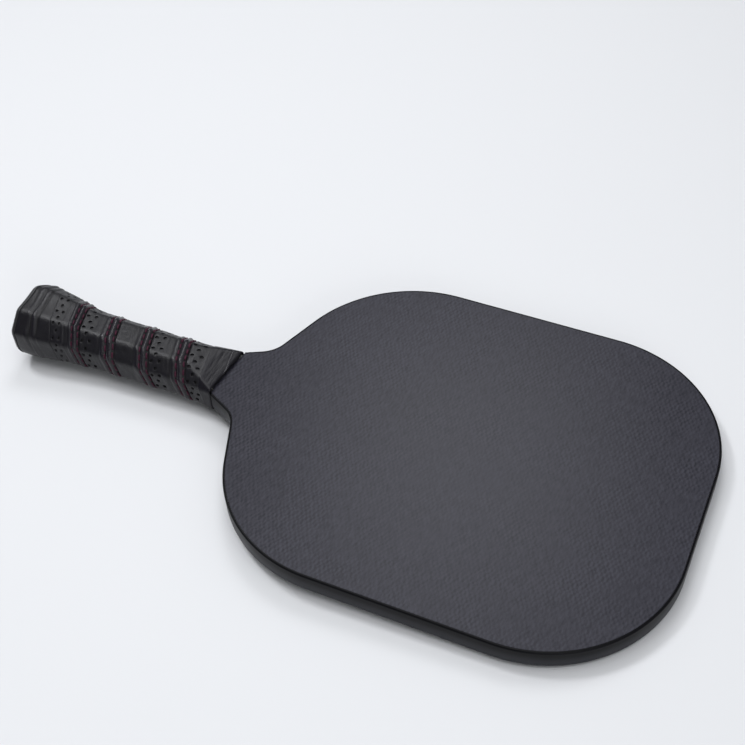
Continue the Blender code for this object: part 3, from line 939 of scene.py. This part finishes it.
def tile():
    """One length of the strip, flat: points (along, across, drop) and faces."""
    points, edges = tile_points()
    result = delaunay_2d_cdt([Vector(point) for point in points], edges, [], 0, 1e-5)
    flat, triangles = result[0], result[2]
    surface = []
    for point in flat:
        on_rim = abs(hole_distance(point.x, point.y) - HOLE_RADIUS) < RIM_TOLERANCE
        surface.append((point.x, point.y, HOLE_RIM_DROP if on_rim else 0.0))
    faces = []
    for corners in triangles:
        x = sum(flat[index].x for index in corners) / 3
        y = sum(flat[index].y for index in corners) / 3
        if hole_distance(x, y) > HOLE_RADIUS * 0.98:
            faces.append(tuple(corners))
    for center in HOLES:
        add_pit(center, surface, faces)
    return np.array(surface), faces


def add_pit(center, surface, faces):
    """Walls and floor of one punched hole in the tile."""
    rim = []
    for index, (along, across, _) in enumerate(surface):
        distance = math.hypot(along - center[0], across - center[1])
        if abs(distance - HOLE_RADIUS) < RIM_TOLERANCE:
            rim.append((math.atan2(across - center[1], along - center[0]), index))
    rim = [index for _, index in sorted(rim)]
    first = len(surface)
    for index in rim:
        along = between(center[0], surface[index][0], HOLE_FLOOR_SHARE)
        across = between(center[1], surface[index][1], HOLE_FLOOR_SHARE)
        surface.append((along, across, HOLE_DEPTH))
    for side in range(len(rim)):
        after = (side + 1) % len(rim)
        faces.append((rim[side], first + side, first + after, rim[after]))
    faces.append(tuple(range(first, first + len(rim))))


def pit_depth(number):
    """How deep the holes of one tile may go."""
    if number < FIRST_HOLES:
        return 0.0
    if CLOSED_HOLES[0] <= number <= CLOSED_HOLES[1]:
        return CLOSED_DEPTH
    return HOLE_DEPTH


def strip_surface():
    """All tiles of the strip, mapped onto the handle."""
    surface, faces = tile()
    along, across, drop = surface.T
    first = math.ceil(HOLE_COUNTS[0])
    last = math.floor(HOLE_COUNTS[-1]) - SPARE_TILES
    points = []
    relief = []
    all_faces = []
    count = 0
    for number in range(first, last):
        length = along + number * TILE_LENGTH
        place, turn = strip_to_handle(length, across)
        if place.max() < GRIP_START - TILE_MARGIN or place.min() > HANDLE_LENGTH + TILE_MARGIN:
            continue
        height = strip_relief(length, across, place, turn)
        pit = np.minimum(drop, pit_depth(number))
        points.append(on_handle(place, turn, height + end_rounding(place, turn) - pit))
        relief.append(height - pit)
        all_faces += shifted(faces, count)
        count += len(place)
        underside = underside_points(number)
        points.append(underside)
        relief.append(np.full(len(underside), UNDERSIDE_RELIEF))
        all_faces += underside_faces(count, len(underside) // (TILE_STEPS + 1))
        count += len(underside)
    return np.concatenate(points), np.concatenate(relief), all_faces


def underside_points(number):
    """Underside of one tile, from the first edge's surface round to the last's."""
    edges = (TILE_ACROSS[0], TILE_ACROSS[-1])
    across = np.concatenate((edges[:1], np.linspace(*edges, UNDERSIDE_ACROSS), edges[1:]))
    points = []
    for step in range(TILE_STEPS + 1):
        length = np.full(len(across), (number + step / TILE_STEPS) * TILE_LENGTH)
        place, turn = strip_to_handle(length, across)
        top = strip_relief(length, across, place, turn) + end_rounding(place, turn)
        lift = np.full(len(across), -STRIP_DEPTH)
        near_throat = ease((place - RAMP_START) / THROAT_FADE)
        lift += near_throat * (STRIP_DEPTH - STRIP_DEPTH_AT_THROAT)
        lift[0] = top[0]
        lift[-1] = top[-1]
        points.append(on_handle(place, turn, lift))
    return np.concatenate(points)


def underside_faces(offset, per_row):
    faces = []
    for step in range(TILE_STEPS):
        for index in range(per_row - 1):
            here = offset + step * per_row + index
            faces.append((here, here + 1, here + per_row + 1, here + per_row))
    return faces


def cut_end(form, place, clear_outer):
    """Trims the strip at a place on the handle and closes the cut."""
    share = float(ease((place - SKEW_START) / (HANDLE_LENGTH - SKEW_START)))
    normal = Vector((1.0, -THROAT_SKEW * share, 0.0)).normalized()
    point = Vector(((BUTT + place) * MM, 0.0, MID * MM))
    geometry = list(form.verts) + list(form.edges) + list(form.faces)
    result = bmesh.ops.bisect_plane(
        form, geom=geometry, dist=1e-7, plane_co=point, plane_no=normal,
        clear_outer=clear_outer, clear_inner=not clear_outer,
    )
    edges = [item for item in result["geom_cut"] if isinstance(item, bmesh.types.BMEdge)]
    bmesh.ops.triangle_fill(form, edges=edges, use_beauty=True, normal=normal)


def make_grip():
    """The perforated, stitched strip as one closed spiral slab."""
    points, relief, faces = strip_surface()
    mesh = mesh_from("grip_strip", points, faces)
    # The relief is kept on the points for the finish, which paints shade in the grooves and a highlight
    # on the ridges from it.
    attribute = mesh.attributes.new("relief", "FLOAT", "POINT")
    attribute.data.foreach_set("value", np.clip(relief + RELIEF_MIDDLE, 0.0, 1.0))
    form = bmesh.new()
    form.from_mesh(mesh)
    bmesh.ops.remove_doubles(form, verts=form.verts, dist=WELD_METRES)
    cut_end(form, GRIP_START, False)
    cut_end(form, HANDLE_LENGTH, True)
    bmesh.ops.recalc_face_normals(form, faces=form.faces)
    form.to_mesh(mesh)
    form.free()
    new_piece("grip_strip", mesh, leather_finish(), ["grip_wrap"], 50.0)


# ---- stitches ----
def stitch_points(center, across):
    """Rings of one stitch, a small bead that dips into the strip at both ends."""
    angles = np.arange(STITCH_SIDES) * 2 * math.pi / STITCH_SIDES
    rings = []
    for step in range(STITCH_RINGS):
        share = step / (STITCH_RINGS - 1) * 2 - 1
        body = math.sqrt(max(0.0, 1.0 - share ** 4))
        size = between(STITCH_TIP, STITCH_HALF_WIDTH, body)
        sink = STITCH_LIFT - STITCH_DIP * share ** 4
        along = np.full(STITCH_SIDES, center + share * STITCH_LENGTH / 2)
        side = across + STITCH_SLANT * share + size * np.cos(angles)
        place, turn = strip_to_handle(along, side)
        rings.append(on_handle(place, turn, sink + size * STITCH_FLATNESS * np.sin(angles)))
    return rings


def make_stitches():
    """Two rows of separate stitches along both edges of the strip."""
    finish = thread_finish()
    names = (("stitch_row_a", "stitch_thread_1"), ("stitch_row_b", "stitch_thread_2"))
    first = math.ceil(length_at(STITCH_FIRST_TURN - 1.0) / STITCH_PITCH)
    for (name, node), (across, phase) in zip(names, ROW_PHASES):
        points = []
        faces = []
        for number in range(first, first + MOST_STITCHES):
            center = (number + phase) * STITCH_PITCH
            place, turn = strip_to_handle(np.array([center]), np.array([across]))
            if place[0] + STITCH_TAPE_GAP > tape_start(turn)[0]:
                break
            faces += shifted(ring_faces(STITCH_RINGS, STITCH_SIDES), len(points))
            for ring in stitch_points(center, across):
                points += [tuple(point) for point in ring]
        mesh = outward(mesh_from(name, points, faces))
        new_piece(name, mesh, finish, [node], 60.0)


# ---- finishing tape ----
def tape_start(turn):
    """Place of the tape's butt-side edge, which climbs with the spiral."""
    return np.interp((turn + TAPE_TURN_SHIFT) % 1.0, TAPE_TURNS, TAPE_PLACES)


def tape_ring(place, turn, lift):
    """Ring of the tape at one height, or at one height for each turn."""
    place = np.broadcast_to(place, turn.shape)
    return on_handle(place, turn, np.broadcast_to(lift, turn.shape))


def tape_rings():
    """Rings of the tape: its lip, its rippled outside, the throat and its underside."""
    turn = np.arange(TAPE_SIDES) / TAPE_SIDES
    start = tape_start(turn)
    rings = [tape_ring(start + inset, turn, lift) for inset, lift in TAPE_LIP]
    for share in np.linspace(0.08, 1.0, 14):
        place = between(start + TAPE_LIP_END, HANDLE_LENGTH - TAPE_EDGE, share)
        ripple = TAPE_RIPPLE * lattice_noise(turn * 26.0, place / 7.0, 21)
        ripple = ripple * math.sin(math.pi * min(1.0, share * 1.02)) + TAPE_LIFT
        rings.append(tape_ring(place, turn, ripple - 0.06 * (share > 0.99)))
    rings.append(tape_ring(HANDLE_LENGTH, turn, -0.08))
    rings.append(tape_ring(HANDLE_LENGTH, turn, TAPE_UNDERSIDE))
    for share in np.linspace(0.95, 0.05, 10):
        rings.append(tape_ring(between(start, HANDLE_LENGTH, share), turn, TAPE_UNDERSIDE))
    return rings


def make_tape():
    """Collar of vinyl tape over the end of the strip."""
    mesh = ring_solid("finishing_tape_collar", tape_rings(), looped=True)
    nodes = ["finishing_tape"]
    new_piece("finishing_tape_collar", mesh, tape_finish(), nodes, 50.0)


# ---- butt cap ----
def plain_ring(sizes, radius, place):
    rows, _ = rounded_octagon(sizes, radius, CAP_SIDES)
    return [(BUTT + place, y, MID + z) for y, z in rows[:-1, :2]]


def scaled_ring(ring, place, scale):
    """Copy of a ring at another place, drawn in towards the handle's axis."""
    ring = np.array(ring)
    ring[:, 0] = BUTT + place
    ring[:, 1] *= scale
    ring[:, 2] = MID + (ring[:, 2] - MID) * scale
    return ring


def cap_rings():
    """Rings of the cap, from its bore out over the sleeve and lip to the socket."""
    turn = np.arange(CAP_SIDES) / CAP_SIDES
    bore = section(*CAP_BORE)
    rings = [plain_ring(bore, CAP_BORE_RIDGE, place) for place in (CAP_FLOOR, CAP_SLEEVE[0])]
    for place in CAP_SLEEVE:
        rings.append(plain_ring(section(place, CAP_SLEEVE_DEPTH), CAP_SLEEVE_RIDGE, place))
    for place, lift in CAP_LIP:
        rings.append(on_handle(np.full(CAP_SIDES, place), turn, np.full(CAP_SIDES, lift)))
    rim = on_handle(np.full(CAP_SIDES, CAP_RIM), turn, np.zeros(CAP_SIDES))
    for degrees in CAP_DOME_DEGREES:
        angle = math.radians(degrees)
        scale = between(BADGE_SCALE, 1.0, math.cos(angle))
        rings.append(scaled_ring(rim, CAP_RIM * (1.0 - math.sin(angle)), scale))
    socket = plain_ring(section(CAP_RIM, 0.0), BADGE_RIDGE, 0.0)
    return rings + [scaled_ring(socket, place, scale) for place, scale in SOCKET_STEPS]


def make_cap():
    """Moulded cap: sleeve under the strip, rounded lip and a domed end."""
    name = "butt_cap_moulding"
    dark = (0.009, 0.009, 0.010)
    light = (0.015, 0.015, 0.017)
    finish = grained("moulded_black_cap", dark, light, (0.36, 0.50), 0.35, 0.03)
    new_piece(name, ring_solid(name, cap_rings()), finish, ["butt_cap"])


def make_badge():
    """Blank plate in the end of the cap, with an eased edge and a raised border."""
    name = "butt_badge_plate"
    base = plain_ring(section(CAP_RIM, 0.0), BADGE_RIDGE, 0.0)
    width = section(CAP_RIM, 0.0)[0] * BADGE_SCALE
    rings = []
    for inset, place in BADGE_STEPS:
        scale = BADGE_SCALE * (width - BADGE_GAP - inset) / width
        rings.append(scaled_ring(base, place, scale))
    dark = (0.022, 0.022, 0.025)
    light = (0.034, 0.034, 0.038)
    finish = grained("blank_end_badge", dark, light, (0.26, 0.36), 0.25, 0.01)
    new_piece(name, ring_solid(name, rings), finish, ["butt_badge"])


# ---- panel ----
def make_skins():
    finish = carbon_finish()
    inset = EDGE_WIDTH + SKIN_GAP
    for name, node, face, side in (
        ("front_carbon_face", "front_face_skin", FACE_TOP, 1),
        ("back_carbon_face", "back_face_skin", FACE_BOTTOM, -1),
    ):
        rings = []
        for extra, depth in ((0.0, SKIN_THICKNESS), (0.0, SKIN_CHAMFER), (SKIN_CHAMFER, 0.0)):
            height = face - side * depth
            rings.append([(x, y, height) for x, y in blank_outline(inset + extra)])
        new_piece(name, ring_solid(name, rings), finish, [node], 25.0)


def edge_profile():
    """Section of the edge: inset from the rim and height from the middle."""
    arc = []
    for step in range(EDGE_ARC_STEPS + 1):
        angle = math.radians(90 * step / EDGE_ARC_STEPS)
        inset = EDGE_RADIUS * (1.0 - math.cos(angle))
        arc.append((inset, HALF_THICKNESS - EDGE_RADIUS + EDGE_RADIUS * math.sin(angle)))
    inner = [(EDGE_WIDTH, HALF_THICKNESS), (EDGE_WIDTH, -HALF_THICKNESS)]
    return arc + inner + [(inset, -height) for inset, height in reversed(arc)]


def make_edge():
    """Rounded edge swept round the head, closed at the throat."""
    profile = edge_profile()
    lines = [[(x, y, MID + height) for x, y in head_rim(inset)] for inset, height in profile]
    rings = [list(ring) for ring in zip(*lines)]
    mesh = ring_solid("edge_moulding", rings)
    new_piece("edge_moulding", mesh, edge_finish(), ["edge_band"], 35.0)


# ---- CAD nodes that stay ----
def finish_nodes():
    """Gives every CAD part that stays its own procedural finish."""
    core = ((0.50, 0.51, 0.49), (0.62, 0.63, 0.60), (0.40, 0.55), 0.8, 0.03)
    tape = ((0.55, 0.53, 0.45), (0.66, 0.64, 0.55), (0.5, 0.7), 0.6, 0.04)
    edge = ((0.20, 0.20, 0.20), (0.34, 0.34, 0.34), 0.7)
    handle = ((0.03, 0.03, 0.03), (0.06, 0.06, 0.06), 0.5)
    for finish, *nodes in (
        (grained("polypropylene_core", *core), "honeycomb_core"),
        (grained("double_sided_tape", *tape), "front_underlay_tape", "back_underlay_tape"),
        (cloth_veil_finish(), "front_core_scrim", "back_core_scrim"),
        (foam_finish("edge_foam", *edge), "perimeter_foam"),
        (foam_finish("handle_foam", *handle), "front_handle_pallet", "back_handle_pallet"),
        (steel_finish(), "butt_cap_staple_front", "butt_cap_staple_back"),
    ):
        for node in nodes:
            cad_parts[node].material_slots[0].material = finish


# ---- stage ----
def floor_finish():
    """Pale table top that glows beyond the object, as a lit backdrop would."""
    finish, tree, shader = new_finish("pale_table_top", FLOOR_COLOR, 0.7)
    source = add_node(tree, "ShaderNodeTexCoord")
    radius = add_node(tree, "ShaderNodeVectorMath", operation="LENGTH")
    tree.links.new(source.outputs["Object"], radius.inputs[0])
    glow = spread(tree, radius.outputs["Value"], 0.0, GLOW, GLOW_RADII, "SMOOTHSTEP")
    shader.inputs["Emission Color"].default_value = SKY_COLOR
    tree.links.new(glow, shader.inputs["Emission Strength"])
    return finish


def make_floor():
    """Table top, on which the butt's flare and the tip's edge both rest."""
    low_x = BUTT_CONTACT * MM
    high_x = TIP_CONTACT * MM
    slope = math.atan2(TIP_CONTACT_HEIGHT * MM, high_x - low_x)
    mesh = bpy.data.meshes.new("table_top")
    half = FLOOR_SIZE / 2
    corners = [(-half, -half, 0.0), (half, -half, 0.0), (half, half, 0.0), (-half, half, 0.0)]
    mesh.from_pydata(corners, [], [(0, 1, 2, 3)])
    mesh.materials.append(floor_finish())
    floor = new_object("table_top", mesh)
    floor.location = (low_x, 0.0, -FLOOR_DROP * MM)
    floor.rotation_euler = (0.0, -slope, 0.0)


def make_light(name, place, target, size, power, color):
    light = bpy.data.lights.new(name, "AREA")
    light.shape = "RECTANGLE"
    light.size = size[0]
    light.size_y = size[1]
    light.energy = power
    light.color = color
    item = new_object(name, light)
    item.location = place
    item.rotation_euler = (Vector(target) - Vector(place)).to_track_quat("-Z", "Y").to_euler()


def make_world():
    """Pale surroundings, darker on the camera's side where the room is open."""
    world = bpy.data.worlds.new("studio")
    world.use_nodes = True
    tree = world.node_tree
    back = tree.nodes["Background"]
    place = add_node(tree, "ShaderNodeTexCoord").outputs["Generated"]
    aim = add_node(tree, "ShaderNodeVectorMath", operation="DOT_PRODUCT")
    aim.inputs[1].default_value = OPEN_SIDE
    tree.links.new(place, aim.inputs[0])
    dome = spread(tree, aim.outputs["Value"], *OPEN_LEVELS, OPEN_SPAN, "SMOOTHSTEP")
    height = separated(tree, place)["Z"]
    rise = spread(tree, height, *HORIZON_LEVELS, HORIZON_SPAN, "SMOOTHSTEP")
    seen = add_node(tree, "ShaderNodeMix", data_type="FLOAT")
    ray = add_node(tree, "ShaderNodeLightPath")
    tree.links.new(ray.outputs["Is Camera Ray"], seen.inputs["Factor"])
    tree.links.new(times(tree, dome, rise), seen.inputs[2])
    seen.inputs[3].default_value = SKY_SEEN
    back.inputs["Color"].default_value = SKY_COLOR
    tree.links.new(seen.outputs[0], back.inputs["Strength"])
    bpy.context.scene.world = world


def make_camera():
    camera = bpy.data.cameras.new("photo_view")
    camera.lens = CAMERA_LENS
    camera.sensor_width = CAMERA_SENSOR
    item = new_object("photo_view", camera)
    item.location = CAMERA_PLACE
    item.rotation_euler = Euler([math.radians(value) for value in CAMERA_TURN_DEGREES])
    bpy.context.scene.camera = item


def make_stage():
    make_floor()
    make_world()
    for light in LIGHTS:
        make_light(*light)
    make_camera()
    bpy.context.scene.view_settings.view_transform = "Standard"


# ---- build ----
make_skins()
make_edge()
make_cap()
make_badge()
make_grip()
make_stitches()
make_tape()
finish_nodes()
make_stage()
